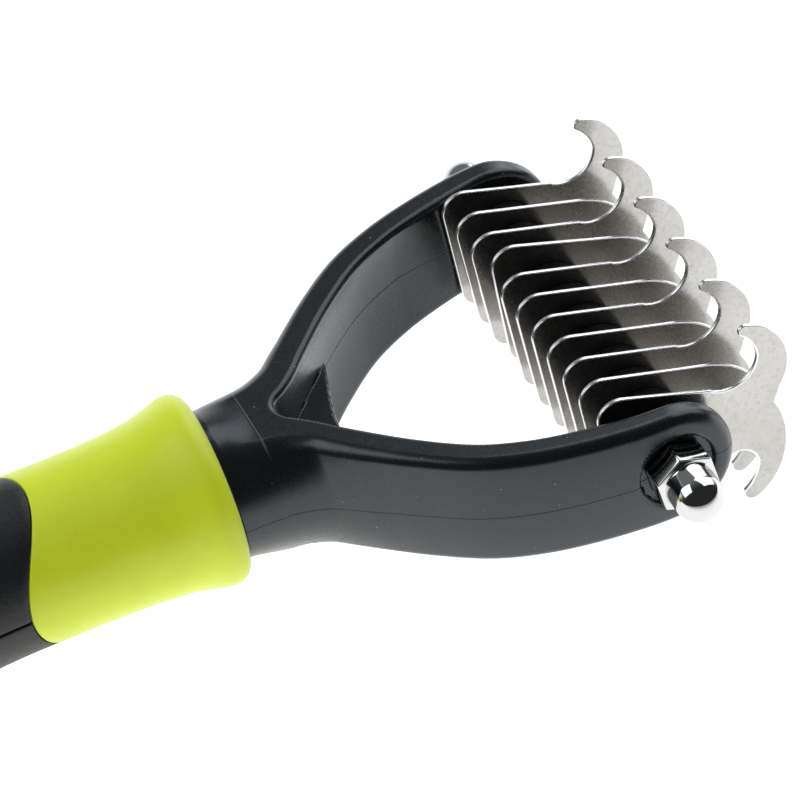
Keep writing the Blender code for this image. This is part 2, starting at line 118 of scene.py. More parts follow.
# Handle
HANDLE_X = -45.0
HANDLE_Z = 0.55
HANDLE_RISE = 0.035
COLLAR_PROFILE = [(-46.1, 9.5), (-46.2, 10.2), (-46.6, 11.0), (-47.4, 11.6), (-48.4, 11.85), (-49.6, 11.7),
                  (-51.5, 11.2), (-54.0, 10.7), (-58.0, 10.35), (-63.0, 10.2), (-68.0, 10.2)]
COLLAR_STRAIGHT_X = -60.0
COLLAR_RIM_SET = 0.5
COLLAR_RIM_LEAN = 0.3
COLLAR_RIM_RISE = 0.03
COLLAR_END_X = -71.0
COLLAR_WAVE = 2.55
GRIP_PROFILE = [(-68.0, 10.2), (-76.0, 10.3), (-84.0, 10.9), (-94.0, 11.9), (-104.0, 12.4), (-114.0, 12.2),
                (-124.0, 11.4), (-134.0, 10.8)]
GRIP_REAR_X = -134.0
GRIP_HOLLOW_R = 6.9
GAP = 0.3
SEAM = 0.1
CAP_PROFILE = [(-134.3, 10.8), (-137.0, 11.3), (-140.5, 11.5), (-144.0, 11.1), (-147.0, 9.9), (-149.3, 7.8),
               (-150.6, 4.6)]
CAP_STEP = 0.42
CAP_REAR_X = -150.6
CAP_FLAT_HALF = 5.5
CAP_FLAT_FRONT_X = -139.5
HANG_HOLE_X = -144.6
HANG_HOLE_R = 3.2
SPIGOT_LENGTH = 4.0


# Node materials ------------------------------------------------------------------------------------------

class Nodes:
    """Small helper for building a node tree in object coordinates, which are metres."""

    def __init__(self, name):
        self.material = bpy.data.materials.new(name)
        self.material.use_nodes = True
        self.tree = self.material.node_tree
        self.shader = self.tree.nodes["Principled BSDF"]
        self.place = self.tree.nodes.new("ShaderNodeTexCoord").outputs["Object"]
        self.height = None

    def node(self, kind, **inputs):
        made = self.tree.nodes.new(kind)
        for key, value in inputs.items():
            self.link(value, made.inputs[key.replace("_", " ")])
        return made

    def link(self, value, socket):
        if isinstance(value, bpy.types.NodeSocket):
            self.tree.links.new(value, socket)
        else:
            socket.default_value = value

    def stretched(self, scale):
        made = self.tree.nodes.new("ShaderNodeMapping")
        self.link(self.place, made.inputs["Vector"])
        made.inputs["Scale"].default_value = scale
        return made.outputs["Vector"]

    def noise(self, scale, detail=3.0, roughness=0.55, distortion=0.0, vector=None):
        made = self.node("ShaderNodeTexNoise", Scale=scale, Detail=detail, Roughness=roughness,
                         Distortion=distortion)
        self.link(vector or self.place, made.inputs["Vector"])
        return made.outputs["Fac"]

    def cells(self, scale, feature="F1", vector=None):
        made = self.node("ShaderNodeTexVoronoi", Scale=scale)
        made.feature = feature
        self.link(vector or self.place, made.inputs["Vector"])
        return made

    def ramp(self, value, low, high, to_low=0.0, to_high=1.0):
        made = self.tree.nodes.new("ShaderNodeMapRange")
        made.interpolation_type = "SMOOTHSTEP"
        for key, v in (("Value", value), ("From Min", low), ("From Max", high), ("To Min", to_low),
                       ("To Max", to_high)):
            self.link(v, made.inputs[key])
        return made.outputs["Result"]

    def math(self, operation, a, b=0.0):
        made = self.tree.nodes.new("ShaderNodeMath")
        made.operation = operation
        self.link(a, made.inputs[0])
        self.link(b, made.inputs[1])
        return made.outputs[0]

    def blend(self, amount, a, b):
        made = self.tree.nodes.new("ShaderNodeMix")
        made.data_type = "RGBA"
        self.link(amount, made.inputs["Factor"])
        self.link(a, made.inputs[6])
        self.link(b, made.inputs[7])
        return made.outputs[2]

    def axis(self, name, vector=None):
        made = self.tree.nodes.new("ShaderNodeSeparateXYZ")
        self.link(vector or self.place, made.inputs[0])
        return made.outputs[name]

    def bump(self, height, distance):
        """Adds a height, in millimetres of relief, on top of those before it."""
        made = self.tree.nodes.new("ShaderNodeBump")
        made.inputs["Strength"].default_value = 1.0
        made.inputs["Distance"].default_value = distance * MM
        self.link(height, made.inputs["Height"])
        if self.height:
            self.link(self.height, made.inputs["Normal"])
        self.height = made.outputs["Normal"]

    def finish(self, **constants):
        if self.height:
            self.link(self.height, self.shader.inputs["Normal"])
        for key, value in constants.items():
            self.link(value, self.shader.inputs[key.replace("_", " ")])
        return self.material


def specks(n, scale, radius, share):
    """Sparse small dots: the chosen share of Voronoi cells, each with a dot at its middle."""
    cells = n.cells(scale)
    dot = n.ramp(cells.outputs["Distance"], radius, radius * 0.5)
    picked = n.math("LESS_THAN", n.axis("X", cells.outputs["Color"]), share)
    return n.math("MULTIPLY", dot, picked)


def black_plastic():
    """The fork's moulding, with its parting line, flow marks towards the neck and the seam across the neck."""
    n = Nodes("black_plastic")
    cloud = n.noise(90.0, 4.0)
    fine = n.noise(2600.0, 3.0, 0.6)
    scuffs = n.ramp(n.noise(700.0, 2.0, 0.5, 1.5, n.stretched((0.25, 1.0, 3.0))), 0.66, 0.74)
    dust = n.math("MAXIMUM", specks(n, 420.0, 0.055, 0.30), specks(n, 900.0, 0.09, 0.12))
    colour = n.blend(n.ramp(cloud, 0.35, 0.7), (0.0068, 0.0074, 0.0088, 1), (0.0098, 0.0105, 0.0122, 1))
    colour = n.blend(n.math("MULTIPLY", dust, 0.75), colour, (0.32, 0.33, 0.34, 1))
    rough = n.ramp(fine, 0.3, 0.75, 0.22, 0.29)
    rough = n.math("ADD", rough, n.math("MULTIPLY", scuffs, 0.10))
    rise = n.math("MULTIPLY", n.math("MAXIMUM", n.math("SUBTRACT", AXLE.x, n.axis("X")), 0.0), PARTING_RISE)
    height = n.math("ABSOLUTE", n.math("SUBTRACT", n.math("SUBTRACT", n.axis("Z"), AXLE.z), rise))
    line = n.ramp(height, 0.09 * MM, 0.03 * MM)
    colour = n.blend(n.math("MULTIPLY", line, 0.9), colour, (0.001, 0.001, 0.001, 1))
    rough = n.math("ADD", rough, n.math("MULTIPLY", line, 0.35))
    n.bump(line, -0.05)
    swirl = n.math("ABSOLUTE", n.math("SUBTRACT", n.noise(75.0, 1.0, 0.4, 0.9), 0.52))
    behind = n.ramp(n.axis("X"), AXLE.x - 22.0 * MM, AXLE.x - 31.0 * MM)
    flow = n.math("MULTIPLY", n.ramp(swirl, 0.006, 0.002), behind)
    flow = n.math("MULTIPLY", flow, n.ramp(n.axis("Z"), AXLE.z + 4.0 * MM, AXLE.z + 1.0 * MM))
    flow = n.math("MULTIPLY", flow, n.ramp(n.noise(150.0, 1.0), 0.47, 0.53))
    rough = n.math("ADD", rough, n.math("MULTIPLY", flow, 0.12))
    n.bump(flow, -0.008)
    apart = n.math("ABSOLUTE", n.math("SUBTRACT", n.axis("X"), AXLE.x + NECK_SEAM_X * MM))
    above = n.ramp(n.axis("Z"), AXLE.z + 7.2 * MM, AXLE.z + 8.0 * MM)
    seam = n.math("MULTIPLY", n.ramp(apart, 0.13 * MM, 0.05 * MM), above)
    colour = n.blend(n.math("MULTIPLY", seam, 0.6), colour, (0.05, 0.055, 0.06, 1))
    n.bump(seam, 0.02)
    n.bump(fine, 0.004)
    n.bump(n.noise(240.0, 2.0), 0.012)
    n.bump(dust, 0.02)
    n.bump(scuffs, -0.003)
    return n.finish(Base_Color=colour, Roughness=rough, IOR=1.6, Specular_Tint=(0.85, 0.94, 1.0, 1))


def spacer_plastic():
    n = Nodes("spacer_plastic")
    fine = n.noise(3000.0, 2.0)
    rings = n.noise(900.0, 2.0, 0.5, 0.0, n.stretched((0.05, 6.0, 0.05)))
    colour = n.blend(n.noise(300.0), (0.002, 0.002, 0.0024, 1), (0.0045, 0.0045, 0.005, 1))
    n.bump(rings, 0.01)
    n.bump(fine, 0.004)
    return n.finish(Base_Color=colour, Roughness=n.ramp(fine, 0.3, 0.7, 0.42, 0.55), IOR=1.35)


def black_grip():
    n = Nodes("black_grip")
    grain = n.cells(2300.0, "SMOOTH_F1").outputs["Distance"]
    fine = n.noise(5200.0, 2.0, 0.6)
    dust = specks(n, 700.0, 0.07, 0.2)
    cloud = n.ramp(n.noise(120.0, 4.0), 0.35, 0.7)
    colour = n.blend(cloud, (0.0060, 0.0068, 0.0078, 1), (0.0095, 0.0103, 0.0116, 1))
    colour = n.blend(n.math("MULTIPLY", dust, 0.4), colour, (0.2, 0.2, 0.2, 1))
    n.bump(grain, 0.03)
    n.bump(fine, 0.01)
    return n.finish(Base_Color=colour, Roughness=n.ramp(fine, 0.3, 0.7, 0.42, 0.56))


def green_rubber():
    n = Nodes("green_rubber")
    cloud = n.noise(130.0, 4.0, 0.6)
    fine = n.noise(2800.0, 3.0, 0.65)
    pits = specks(n, 1300.0, 0.1, 0.15)
    colour = n.blend(n.ramp(cloud, 0.3, 0.75), (0.74, 0.87, 0.020, 1), (0.79, 0.92, 0.028, 1))
    colour = n.blend(n.math("MULTIPLY", n.ramp(fine, 0.35, 0.7), 0.25), colour, (0.68, 0.81, 0.014, 1))
    n.bump(fine, 0.012)
    n.bump(cloud, 0.03)
    n.bump(pits, -0.01)
    return n.finish(Base_Color=colour, Roughness=n.ramp(fine, 0.3, 0.7, 0.36, 0.48), IOR=1.5,
                    Sheen_Weight=0.55, Sheen_Roughness=0.35, Sheen_Tint=(0.95, 1.0, 0.72, 1))


def blade_steel():
    n = Nodes("blade_steel")
    mottle = n.noise(4200.0, 2.0, 0.6)
    cloud = n.noise(160.0, 3.0, 0.6, 0.8)
    pits = specks(n, 1100.0, 0.09, 0.12)
    colour = n.blend(n.ramp(cloud, 0.35, 0.7), (0.47, 0.457, 0.435, 1), (0.51, 0.50, 0.485, 1))
    grain = n.ramp(n.noise(1500.0, 4.0, 0.7), 0.45, 0.7)
    colour = n.blend(n.math("MULTIPLY", grain, 0.75), colour, (0.405, 0.39, 0.365, 1))
    colour = n.blend(n.math("MULTIPLY", pits, 0.35), colour, (0.30, 0.26, 0.21, 1))
    n.bump(mottle, 0.0003)
    n.bump(cloud, 0.0015)
    return n.finish(Base_Color=colour, Metallic=1.0, Roughness=n.ramp(mottle, 0.3, 0.7, 0.14, 0.27))


def ground_steel():
    """Cut edges and ground bevels of the blades."""
    n = Nodes("ground_steel")
    strokes = n.noise(1800.0, 3.0, 0.6, 0.0, n.stretched((1.0, 4.0, 1.0)))
    colour = n.blend(strokes, (0.70, 0.70, 0.71, 1), (0.90, 0.90, 0.90, 1))
    n.bump(strokes, 0.0006)
    return n.finish(Base_Color=colour, Metallic=1.0, Roughness=n.ramp(strokes, 0.3, 0.7, 0.22, 0.32))


def chrome():
    n = Nodes("chrome")
    smudge = n.noise(500.0, 4.0, 0.6)
    lines = n.noise(1500.0, 2.0, 0.5, 0.0, n.stretched((0.2, 8.0, 0.2)))
    colour = n.blend(smudge, (0.60, 0.60, 0.595, 1), (0.66, 0.66, 0.65, 1))
    n.bump(lines, 0.0004)
    return n.finish(Base_Color=colour, Metallic=1.0, Roughness=n.ramp(smudge, 0.35, 0.75, 0.03, 0.09))


# Pieces --------------------------------------------------------------------------------------------------

def piece(name, points, faces, materials, slot, body, nodes, sharp_deg=32.0, slots=None, normals=None):
    """Points in millimetres from the axle's centre become a finished piece that stands for CAD nodes."""
    mesh = bpy.data.meshes.new(name)
    mesh.from_pydata([tuple(AXLE + Vector(p) * MM) for p in points], [], faces)
    mesh.validate()
    for m in materials:
        mesh.materials.append(m)
    if slots is not None:
        mesh.polygons.foreach_set("material_index", slots)
    shape = bmesh.new()
    shape.from_mesh(mesh)
    bmesh.ops.recalc_face_normals(shape, faces=shape.faces)
    shape.to_mesh(mesh)
    shape.free()
    mesh.shade_smooth()
    if normals is not None:
        mesh.normals_split_custom_set_from_vertices(normals)
    else:
        mesh.set_sharp_from_angle(angle=math.radians(sharp_deg))
    made = bpy.data.objects.new(name, mesh)
    bpy.context.scene.collection.objects.link(made)
    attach(made, body)
    if nodes:
        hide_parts(*nodes)
    return made


def loft(rings, closed=False):
    """Points and quads over equal rings of points; closed joins the last ring to the first."""
    count = len(rings[0])
    points = [p for ring in rings for p in ring]
    faces = []
    last = len(rings) if closed else len(rings) - 1
    for i in range(last):
        for k in range(count):
            m = (k + 1) % count
            j = (i + 1) % len(rings)
            faces.append((i * count + k, i * count + m, j * count + m, j * count + k))
    return points, faces


def smooth_line(points, per_span):
    """A Catmull-Rom curve through the points, as an array."""
    p = np.array(points, float)
    p = np.vstack([2 * p[0] - p[1], p, 2 * p[-1] - p[-2]])
    t = np.arange(per_span)[:, None] / per_span
    line = []
    for a, b, c, d in zip(p, p[1:], p[2:], p[3:]):
        line.append(0.5 * (2 * b + (c - a) * t + (2 * a - 5 * b + 4 * c - d) * t ** 2
                           + (3 * b - a - 3 * c + d) * t ** 3))
    return np.vstack(line + [p[-2:-1]])


# Rounded joins between signed distances ------------------------------------------------------------------

def both(a, b, r):
    """Intersection with a rounded edge."""
    return np.minimum(-r, np.maximum(a, b)) + np.hypot(np.maximum(r + a, 0), np.maximum(r + b, 0))


def either(a, b, r):
    """Union with a filleted corner."""
    return -both(-a, -b, r)


class Plan:
    """Signed distance outwards from an arm's outer edge line, and the line's x there, tabled over the plan."""
    STEP = 0.2
    LOW = np.array([-60.0, -34.0])
    SIZE = (361, 341)

    def __init__(self):
        line = smooth_line(ARM_EDGE_LINE, 10)
        a, b = line[:-1], line[1:]
        axes = [self.LOW[k] + self.STEP * np.arange(self.SIZE[k]) for k in range(2)]
        gx, gy = np.meshgrid(*axes, indexing="ij")
        near = np.full(gx.shape, 1e9)
        self.out, self.at = np.zeros(gx.shape), np.zeros(gx.shape)
        for p, q in zip(a, b):
            d = q - p
            t = np.clip(((gx - p[0]) * d[0] + (gy - p[1]) * d[1]) / (d @ d), 0, 1)
            dx, dy = gx - p[0] - t * d[0], gy - p[1] - t * d[1]
            dist = np.hypot(dx, dy)
            side = np.where(d[0] * dy - d[1] * dx <= 0, 1.0, -1.0)
            closer = dist < near
            near = np.where(closer, dist, near)
            self.out = np.where(closer, side * dist, self.out)
            self.at = np.where(closer, p[0] + t * d[0], self.at)

    def look(self, x, y):
        u = np.clip((x - self.LOW[0]) / self.STEP, 0, self.SIZE[0] - 1.001)
        v = np.clip((y - self.LOW[1]) / self.STEP, 0, self.SIZE[1] - 1.001)
        i, j = u.astype(int), v.astype(int)
        u, v = u - i, v - j
        return tuple((t[i, j] * (1 - u) + t[i + 1, j] * u) * (1 - v)
                     + (t[i, j + 1] * (1 - u) + t[i + 1, j + 1] * u) * v for t in (self.out, self.at))


PLAN = Plan()


def lift(x):
    return HANDLE_Z + HANDLE_RISE * np.maximum(0.0, HANDLE_X - x)


def fork_field(p):
    """Crowned walls and a round neck under one flat top, opened between the arms, with web and recesses."""
    x, y, z = p.T
    y = y + np.interp(x, *np.array(ARM_SET).T)
    side = np.abs(y)
    out, at = PLAN.look(x, side)
    back = np.maximum(-at, 0)
    top = ARM_END_R + ARM_GROWTH * back
    bottom = ARM_END_R + ARM_BOTTOM_GROWTH * back + NECK_HEEL / (1 + np.exp((x - NECK_HEEL_X) / 1.6))
    height = np.where(z > 0, top, bottom)
    rho = np.hypot(np.maximum(x, 0), z)
    widen = ARM_OUTSIDE * np.interp(x, [-4.0, 3.0], [1.0, 0.3])
    shoulder = np.interp(back, *np.array(SHOULDER).T)
    bulge = np.maximum(0, 1 - (rho / height) ** 2)
    crown = widen + (ARM_CROWN + ARM_CROWN_GROWTH * back + shoulder) * bulge
    radial = np.hypot(y, z - lift(x))
    neck = both(radial - NECK_R, x - NECK_FRONT_X, 3.0)
    walls = either(np.maximum(out - crown, -45.0 - x), neck, NECK_BLEND)
    edge_r = ARM_EDGE_R + 0.7 * np.clip((x - 1.0) / 7.0, 0, 1)
    turned = np.clip((NECK_SEAM_X - x) / NECK_TURN, 0, 1)
    shape = (1 - turned) * both(walls, rho - height, edge_r) + turned * (radial - NECK_R)
    shape = both(shape, NECK_REAR_X - x, 0.3)
    inside = ARM_INSIDE + ARM_INSIDE_GROWTH * back + np.interp(y, [-4.0, 2.0], [-0.35, 0.0])
    hollow = ARM_HOLLOW * np.interp(back, [7.0, 15.0], [0.0, 1.0]) * bulge
    opening = both(out + inside - hollow, THROAT_X - x, 0.8)
    shape = both(shape, -opening, ARM_INNER_EDGE_R)
    edge = np.interp(side, *smooth_line(WEB_EDGE, 6).T)
    web = both(both(np.abs(z) - WEB_HALF_THICKNESS, x - edge, 0.25), np.maximum(out + 1.5, -44.0 - x), 0.1)
    shape = either(shape, web, 0.14)
    axle = np.hypot(x, z)
    recess = np.maximum(axle - RECESS_R, RECESS_FLOOR_Y - side)
    shape = both(shape, -recess, RECESS_EDGE_R)
    return np.maximum(shape, AXLE_HOLE_R - axle)


def surface_net(field, low, high, step):
    """Quads over the zero surface of a signed field: one point in each cell that the surface crosses."""
    axes = [np.arange(low[a], high[a] + step, step) for a in range(3)]
    shape = tuple(len(a) for a in axes)
    grid = np.stack(np.meshgrid(*axes, indexing="ij"), -1).reshape(-1, 3)
    values = np.concatenate([field(part) for part in np.array_split(grid, 24)]).reshape(shape)
    inside = values < 0
    cells = tuple(n - 1 for n in shape)
    corner = {c: tuple(slice(c[a], cells[a] + c[a]) for a in range(3)) for c in product((0, 1), repeat=3)}
    total = sum(inside[s].astype(np.int8) for s in corner.values())
    active = (total > 0) & (total < 8)
    index = np.full(cells, -1)
    index[active] = np.arange(active.sum())
    where = np.argwhere(active)
    summed, crossings = np.zeros((len(where), 3)), np.zeros(len(where))
    for c, axis in product(corner, range(3)):
        if c[axis]:
            continue
        d = tuple(1 if a == axis else c[a] for a in range(3))
        a, b = values[corner[c]][active], values[corner[d]][active]
        cut = (a < 0) != (b < 0)
        t = np.where(cut, a / np.where(cut, a - b, 1), 0)
        at = np.tile(np.array(c, float), (len(where), 1))
        at[:, axis] += t
        summed += at * cut[:, None]
        crossings += cut
    points = np.array(low) + (where + summed / crossings[:, None]) * step
    quads = []
    for axis in range(3):
        u, v = (axis + 1) % 3, (axis + 2) % 3
        first = inside.take(range(shape[axis] - 1), axis)
        second = inside.take(range(1, shape[axis]), axis)
        for start, flip in ((first & ~second, False), (second & ~first, True)):
            i = np.argwhere(start)
            i = i[(i[:, u] > 0) & (i[:, u] < shape[u] - 1) & (i[:, v] > 0) & (i[:, v] < shape[v] - 1)]
            ring = []
            for du, dv in ((1, 1), (0, 1), (0, 0), (1, 0)):
                j = i.copy()
                j[:, u] -= du
                j[:, v] -= dv
                ring.append(index[j[:, 0], j[:, 1], j[:, 2]])
            quads.append(np.stack(ring[::-1] if flip else ring, 1))
    return points, np.vstack(quads)


def slope_of(field, points, reach=0.04):
    slope = np.zeros_like(points)
    for axis in range(3):
        shift = np.zeros(3)
        shift[axis] = reach
        slope[:, axis] = (field(points + shift) - field(points - shift)) / (2 * reach)
    return slope


def settle(field, points, step):
    """Moves points on to the zero surface."""
    for _ in range(2):
        slope = slope_of(field, points)
        move = -slope * (field(points) / np.maximum((slope ** 2).sum(1), 0.05))[:, None]
        length = np.linalg.norm(move, axis=1)
        points = points + move * np.minimum(1, 0.5 * step / np.maximum(length, 1e-9))[:, None]
    return points


def relax(points, quads):
    """Evens out the points over the surface: each goes half way to the middle of its neighbours."""
    total, count = np.zeros_like(points), np.zeros(len(points))
    for k in range(4):
        a, b = quads[:, k], quads[:, (k + 1) % 4]
        for p, q in ((a, b), (b, a)):
            np.add.at(total, p, points[q])
            np.add.at(count, p, 1)
    return points + 0.5 * (total / count[:, None] - points)


def smooth_piece(name, field, low, high, step, rounds, material, slot, node):
    """A piece over the zero surface of a signed field, shaded along the field's slopes."""
    points, quads = surface_net(field, low, high, step)
    points = settle(field, points, step)
    for _ in range(rounds):
        points = settle(field, relax(points, quads), step)
    slopes = slope_of(field, points)
    slopes /= np.maximum(np.linalg.norm(slopes, axis=1), 1e-6)[:, None]
    piece(name, points.tolist(), quads.tolist(), [material], slot, HANDLE, [node], normals=slopes.tolist())


def make_fork(plastic):
    low, high = (-48.2, -31.0, -10.4), (9.2, 31.0, 11.0)
    smooth_piece("fork", fork_field, low, high, FORK_STEP, 2, plastic, "black_plastic", "fork_frame")
    front = NECK_REAR_X + TANG_OVERLAP
    profile = [(TANG_REAR_X, 0.01), (TANG_REAR_X, TANG_R - 0.5), (TANG_REAR_X + 0.15, TANG_R - 0.15),
               (TANG_REAR_X + 0.5, TANG_R), (-60.0, TANG_R), (front, TANG_R), (front, 0.01)]
    rings = [[on_handle(x, r, math.tau * i / TANG_SIDES) for i in range(TANG_SIDES)] for x, r in profile]
    piece("fork_tang", *loft(rings), [plastic], "black_plastic", HANDLE, [], 30)


# Blades --------------------------------------------------------------------------------------------------

def circle_through(a, b, c):
    (ax, ay), (bx, by), (cx, cy) = a, b, c
    d = 2 * (ax * (by - cy) + bx * (cy - ay) + cx * (ay - by))
    sa, sb, sc = ax * ax + ay * ay, bx * bx + by * by, cx * cx + cy * cy
    return ((sa * (by - cy) + sb * (cy - ay) + sc * (ay - by)) / d,
            (sa * (cx - bx) + sb * (ax - cx) + sc * (bx - ax)) / d)


def arc(a, b, c, step_deg):
    """Points of the arc from a through b to c, without a itself."""
    x, y = circle_through(a, b, c)
    radius = math.dist((x, y), a)
    start, via, end = (math.atan2(p[1] - y, p[0] - x) for p in (a, b, c))
    turn = (end - start) % math.tau
    if (via - start) % math.tau > turn:
        turn -= math.tau
    count = max(2, round(abs(math.degrees(turn)) / step_deg))
    angles = [start + turn * i / count for i in range(1, count + 1)]
    return [(x + radius * math.cos(t), y + radius * math.sin(t)) for t in angles]


def fillet(before, corner, after, radius, step_deg):
    corner = Vector(corner)
    to_before = (Vector(before) - corner).normalized()
    to_after = (Vector(after) - corner).normalized()
    half = to_before.angle(to_after) / 2
    reach = radius / math.tan(half)
    first, last = corner + to_before * reach, corner + to_after * reach
    middle = corner + (to_before + to_after).normalized() * (radius / math.sin(half) - radius)
    return [tuple(first)] + arc(tuple(first), tuple(middle), tuple(last), step_deg)


def blade_outline(double, step_deg):
    """Clockwise from the rear top corner, as (x, z, rounding): the throats are ground wider than the rest."""
    line = []

    def add(points, rounding=EDGE_ROUND):
        line.extend((x, z, rounding) for x, z in points)

    def onward(through, to, step, rounding=EDGE_ROUND):
        add(arc(line[-1][:2], through, to, step), rounding)

    rear_bottom, rear_top, shoulder = (-6.75, -9.35), (-6.6, 9.9), (7.4, 4.25)
    add(fillet(rear_bottom, rear_top, shoulder, 2.6, step_deg))
    if double:
        add([shoulder])
        onward((11.9, 3.9), (13.7, 6.7), step_deg, THROAT_ROUND)
        onward((13.2, 8.8), (12.1, 10.3), step_deg, THROAT_ROUND)
        onward((12.1, 11.15), (12.9, 11.5), step_deg * 3)
        onward((17.0, 7.4), (15.95, 0.8), step_deg)
        add([(14.85, -1.35)])
        onward((15.6, -3.9), (15.73, -5.6), step_deg)
    else:
        add([(9.2, 3.5)])
        onward((13.4, 0.4), (15.73, -5.6), step_deg)
    onward((15.45, -8.3), (14.9, -10.1), step_deg)
    onward((13.1, -12.9), (10.9, -14.45), step_deg)
    onward((9.55, -14.1), (9.35, -12.85), step_deg * 3)
    onward((10.95, -11.1), (11.62, -9.3), step_deg, THROAT_ROUND)
    onward((11.0, -7.45), (8.9, -6.5), step_deg, THROAT_ROUND)
    add(fillet(line[-1][:2], rear_bottom, rear_top, 2.4, step_deg))
    return line


def inset(outline, share=1.0):
    """The outline moved inwards by a share of each point's own rounding."""
    p = np.array([q[:2] for q in outline])
    amount = np.array([q[2] for q in outline])
    for _ in range(3):
        amount = (np.roll(amount, 1) + amount * 2 + np.roll(amount, -1)) / 4
    along = np.roll(p, -1, 0) - np.roll(p, 1, 0)
    along /= np.linalg.norm(along, axis=1)[:, None]
    return p + np.stack([along[:, 1], -along[:, 0]], 1) * (amount * share)[:, None]


def make_blade(number, steel, edge):
    outline = blade_outline(number % 2 == 1, 4.0)
    half, count = BLADE_THICKNESS / 2, len(outline)
    turn_deg, shift_x, shift_z = SLACK.get(number, (0.0, 0.0, 0.0))
    angle = math.radians(PACK_SET_DEG + turn_deg)
    middle = ((BLADE_COUNT + 1) / 2 - number) * PITCH
    bore = [(BLADE_BORE_R * math.cos(math.tau * i / 40), BLADE_BORE_R * math.sin(math.tau * i / 40))
            for i in range(40)]
    shape = bmesh.new()
    section = [(1.25, 0.0)] + [(1 - math.sin(t), EDGE_ROUND * (1 - math.cos(t)))
                               for t in (math.radians(30 * i) for i in range(4))]
    rings = [(inset(outline, share), depth - half) for share, depth in section]
    rings += [(ring, -y) for ring, y in reversed(rings)] + [(bore, -half), (bore, half)]
    spots = [[shape.verts.new((a * math.cos(angle) - b * math.sin(angle) + shift_x, middle + y,
                               a * math.sin(angle) + b * math.cos(angle) + shift_z)) for a, b in ring]
             for ring, y in rings]
    last = len(spots) - 3
    for row, (low, high) in enumerate(zip(spots[:last], spots[1:last + 1])):
        for k in range(count):
            m = (k + 1) % count
            shape.faces.new((low[k], low[m], high[m], high[k])).material_index = int(0 < row < last - 1)
    for k in range(40):
        m = (k + 1) % 40
        shape.faces.new((spots[-2][k], spots[-2][m], spots[-1][m], spots[-1][k]))
    for ring, hole in ((spots[0], spots[-2]), (spots[last], spots[-1])):
        edges = [shape.edges.get((a, b)) for loop in (ring, hole) for a, b in zip(loop, loop[1:] + loop[:1])]
        bmesh.ops.triangle_fill(shape, edges=edges, use_beauty=True)
    shape.verts.index_update()
    points = [tuple(v.co) for v in shape.verts]
    faces = [tuple(v.index for v in f.verts) for f in shape.faces]
    slots = [f.material_index for f in shape.faces]
    shape.free()
    name = f"blade_{number:02d}"
    piece(f"rake_{name}", points, faces, [steel, edge], "polished_steel", PACK, [name], 34, slots)


def ring_y(y, radius, sides):
    """A ring of points round the axle."""
    return [(radius * math.cos(math.tau * i / sides), y, radius * math.sin(math.tau * i / sides))
            for i in range(sides)]


def make_bush(name, y_low, y_high, plastic):
    """A spacer with small chamfers on its outer corners."""
    c = 0.18
    profile = [(y_low, SPACER_BORE_R), (y_low, SPACER_R - c), (y_low + c * 0.3, SPACER_R - c * 0.3),
               (y_low + c, SPACER_R), (y_high - c, SPACER_R), (y_high - c * 0.3, SPACER_R - c * 0.3),
               (y_high, SPACER_R - c), (y_high, SPACER_BORE_R)]
    points, faces = loft([ring_y(y, r, 72) for y, r in profile], closed=True)
    piece(f"bush_{name}", points, faces, [plastic], "black_plastic", PACK, [name], 40)


def make_stack(steel, edge, plastic):
    for number in range(1, BLADE_COUNT + 1):
        make_blade(number, steel, edge)
    half = BLADE_THICKNESS / 2 + STACK_GAP
    ys = [((BLADE_COUNT + 1) / 2 - number) * PITCH for number in range(1, BLADE_COUNT + 1)]
    for number in range(1, BLADE_COUNT):
        make_bush(f"spacer_{number:02d}", ys[number] + half, ys[number - 1] - half, plastic)
    make_bush("end_spacer_left", ys[0] + half, END_SPACER_Y, plastic)
    make_bush("end_spacer_right", -END_SPACER_Y, ys[-1] - half, plastic)


# Nuts and axle -------------------------------------------------------------------------------------------

def hex_radius(angle, across_flats):
    """A hexagon's radius at an angle, its corners very slightly rounded."""
    off = angle % (math.pi / 3) - math.pi / 6
    flat = across_flats / 2 / math.cos(off)
    corner = across_flats / 2 / math.cos(math.pi / 6) - 0.05
    return min(flat, corner)


def make_nut(side, name, metal):
    """A tall domed cap nut: chamfered hexagon, shoulder, dome and blind bore."""
    sides = 180
    dome_y = NUT_TIP_Y - NUT_DOME_R
    bore_end = NUT_SEAT_Y + NUT_BORE_DEPTH
    hexagon = [(NUT_SEAT_Y, 0.15), (NUT_SEAT_Y + 0.15, 0.0), (NUT_FACE_Y - 0.14, 0.0),
               (NUT_FACE_Y - 0.10, 0.012), (NUT_FACE_Y - 0.05, 0.05), (NUT_FACE_Y - 0.012, 0.10),
               (NUT_FACE_Y, 0.14)]
    shoulder = [(NUT_FACE_Y, NUT_DOME_R + 0.3), (NUT_FACE_Y + 0.06, NUT_DOME_R + 0.14),
                (NUT_FACE_Y + 0.2, NUT_DOME_R + 0.04), (NUT_FACE_Y + 0.45, NUT_DOME_R)]
    dome = [(dome_y + NUT_DOME_R * math.sin(t), NUT_DOME_R * math.cos(t))
            for t in (math.radians(3.6 * i) for i in range(25))]
    bore = [(bore_end + 0.5, 0.01), (bore_end, NUT_BORE_R), (NUT_SEAT_Y + 0.3, NUT_BORE_R),
            (NUT_SEAT_Y, NUT_BORE_R + 0.25)]
    rings = []
    for kind, profile in (("bore", bore), ("hex", hexagon), ("round", shoulder + dome + [(NUT_TIP_Y, 0.01)])):
        for y, r in profile:
            ring = []
            for i in range(sides):
                t = math.tau * i / sides
                radius = hex_radius(t, NUT_ACROSS_FLATS - 2 * r) if kind == "hex" else r
                turned = t + math.radians(NUT_TURN_DEG)
                ring.append((side * radius * math.cos(turned), side * y, radius * math.sin(turned)))
            rings.append(ring)
    points, faces = loft(rings)
    piece(f"acorn_{name}", points, faces, [metal], "chrome", HANDLE, [name], 24)


